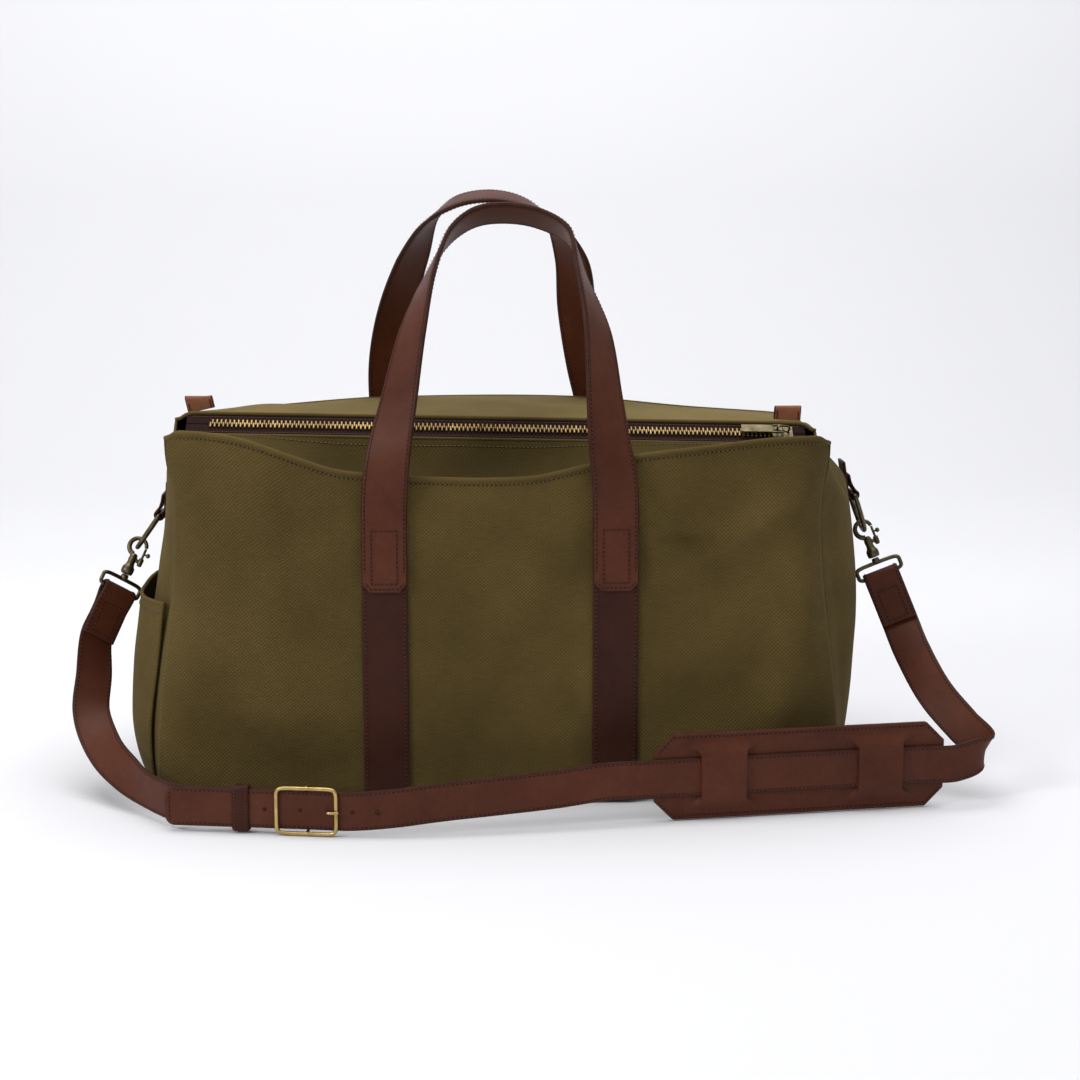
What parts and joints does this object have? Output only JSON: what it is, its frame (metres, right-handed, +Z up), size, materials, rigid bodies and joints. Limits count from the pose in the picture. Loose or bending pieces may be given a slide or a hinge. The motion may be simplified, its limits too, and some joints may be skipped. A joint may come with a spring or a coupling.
{
  "type": "duffel bag",
  "caption": "Soft canvas weekender duffel with two leather carry handles, a zipped top, an end pocket and a clip-on leather shoulder strap with a pad and a buckle.",
  "frame": {"origin": "centre of the bag's base, on the surface that it stands on", "axes": "+X to the bag's right end along its length, -Y out of its front, +Z up"},
  "size_m": [0.7066, 0.3319, 0.4579],
  "materials": {
    "canvas": "matte woven cotton canvas",
    "lining": "matte cotton twill",
    "leather": "satin, smooth grain, waxed edges",
    "leather_tan": "satin, lighter split leather",
    "brass": "polished, lightly aged",
    "antique_brass": "dark aged brass",
    "zip_tape": "woven polyester tape",
    "board": "stiff fibre board"
  },
  "bodies": {
    "bag": {"front_panel": "canvas", "back_panel": "canvas", "left_end_panel": "canvas", "right_end_panel": "canvas", "bottom_panel": "canvas", "top_panel_front": "canvas", "top_panel_rear": "canvas", "left_end_pocket": "canvas", "base_board": "board", "lining": "lining", "zip_tape_front": "zip_tape", "zip_tape_rear": "zip_tape", "zip_tab_left": "leather_tan", "zip_tab_right": "leather_tan", "front_strip_left": "leather", "front_strip_right": "leather", "front_handle_patch_left": "leather", "front_handle_patch_right": "leather", "rear_strip_left": "leather", "rear_strip_right": "leather", "rear_handle_patch_left": "leather", "rear_handle_patch_right": "leather", "ring_tab_left": "leather", "ring_tab_right": "leather"},
    "slider": {"zip_slider": "brass"},
    "pull": {"zip_pull": "brass"},
    "front_handle": {"front_handle": "leather"},
    "rear_handle": {"rear_handle": "leather"},
    "left_ring": {"d_ring_left": "antique_brass"},
    "right_ring": {"d_ring_right": "antique_brass"},
    "strap": {"strap_short": "leather", "strap_long": "leather", "buckle_frame": "brass", "hook_loop_left": "antique_brass", "hook_loop_right": "antique_brass"},
    "left_hook": {"hook_left": "antique_brass"},
    "right_hook": {"hook_right": "antique_brass"},
    "left_bolt": {"hook_bolt_left": "antique_brass"},
    "right_bolt": {"hook_bolt_right": "antique_brass"},
    "prong": {"buckle_prong": "brass"},
    "keeper": {"strap_keeper": "leather"},
    "pad": {"shoulder_pad": "leather"}
  },
  "joints": [
    {"name": "zip_slider_travel", "type": "slide", "parent": "bag", "child": "slider", "axis": [-0.9998, 0, 0.022], "range_m": [0, 0.41]},
    {"name": "zip_pull_swing", "type": "hinge", "parent": "slider", "child": "pull", "pos_m": [0.2221, -0.03894, 0.27541], "axis": [0.0124, 0.8254, 0.5644], "range_deg": [0, 100]},
    {"name": "front_handle_fold", "type": "hinge", "parent": "bag", "child": "front_handle", "pos_m": [0, -0.125, 0.228], "axis": [1, 0, 0], "range_deg": [0, 120]},
    {"name": "rear_handle_fold", "type": "hinge", "parent": "bag", "child": "rear_handle", "pos_m": [0, 0.125, 0.228], "axis": [-1, 0, 0], "range_deg": [0, 120]},
    {"name": "strap_lift", "type": "hinge", "parent": "bag", "child": "strap", "pos_m": [-0.285, 0, 0.179], "axis": [-0.9999, 0, -0.0173], "range_deg": [0, 23]},
    {"name": "left_ring_swing", "type": "hinge", "parent": "bag", "child": "left_ring", "pos_m": [-0.26594, 0, 0.206], "axis": [0, 1, 0], "range_deg": [-2, 2]},
    {"name": "right_ring_swing", "type": "hinge", "parent": "bag", "child": "right_ring", "pos_m": [0.28372, 0, 0.219], "axis": [0, 1, 0], "range_deg": [-2, 2]},
    {"name": "left_hook_swivel", "type": "hinge", "parent": "strap", "child": "left_hook", "pos_m": [-0.285, 0, 0.179], "axis": [0.3807, 0.3606, 0.8515], "range_deg": [-8, 8]},
    {"name": "right_hook_swivel", "type": "hinge", "parent": "strap", "child": "right_hook", "pos_m": [0.294, 0, 0.189], "axis": [-0.3509, 0.2506, 0.9023], "range_deg": [-8, 8]},
    {"name": "left_bolt_slide", "type": "slide", "parent": "left_hook", "child": "left_bolt", "axis": [-0.3807, -0.3606, -0.8515], "range_m": [0, 0.0027], "stiffness_N_per_m": 400},
    {"name": "right_bolt_slide", "type": "slide", "parent": "right_hook", "child": "right_bolt", "axis": [0.3509, -0.2506, -0.9023], "range_m": [0, 0.0027], "stiffness_N_per_m": 400},
    {"name": "prong_swing", "type": "hinge", "parent": "strap", "child": "prong", "pos_m": [-0.14141, -0.18804, 0.0187], "axis": [0, 0, -1], "range_deg": [0, 2.5]},
    {"name": "keeper_slide", "type": "slide", "parent": "strap", "child": "keeper", "axis": [0.9889, -0.1483, 0], "range_m": [-0.02, 0.009]},
    {"name": "pad_slide", "type": "slide", "parent": "strap", "child": "pad", "axis": [0.9888, 0.1493, 0], "range_m": [-0.038, 0.008]}
  ]
}
